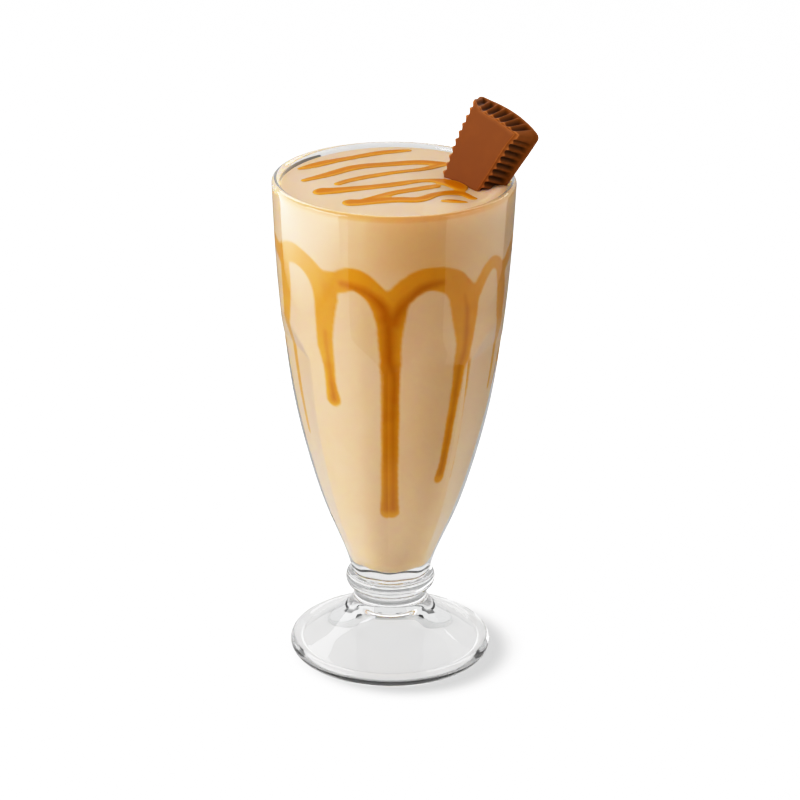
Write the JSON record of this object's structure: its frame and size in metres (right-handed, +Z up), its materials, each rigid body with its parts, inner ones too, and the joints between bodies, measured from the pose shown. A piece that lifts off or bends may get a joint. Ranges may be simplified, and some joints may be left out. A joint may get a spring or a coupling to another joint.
{
  "type": "milkshake",
  "caption": "Thick caramel milkshake filling a tall footed soda glass with a panelled bowl, sauce drizzled on top and a fluted chocolate piece leaning on the rim.",
  "frame": {"origin": "centre of the object's box, on the surface that the foot stands on; the glass's axis is 3.3 mm to the -X side of it, because the chocolate hangs over the rim at +X", "axes": "+Z up along the glass's axis, -Y towards the viewer of the picture, +X to the side where the chocolate leans over the rim"},
  "size_m": [0.0929, 0.0862, 0.2095],
  "materials": {
    "clear_glass": "clear, fire-polished",
    "milkshake": "thick cream, softly glossy, with amber caramel sauce",
    "chocolate": "satin milk chocolate"
  },
  "bodies": {
    "root": {"glass": "clear_glass", "milkshake": "milkshake", "chocolate_piece": "chocolate"}
  },
  "joints": []
}
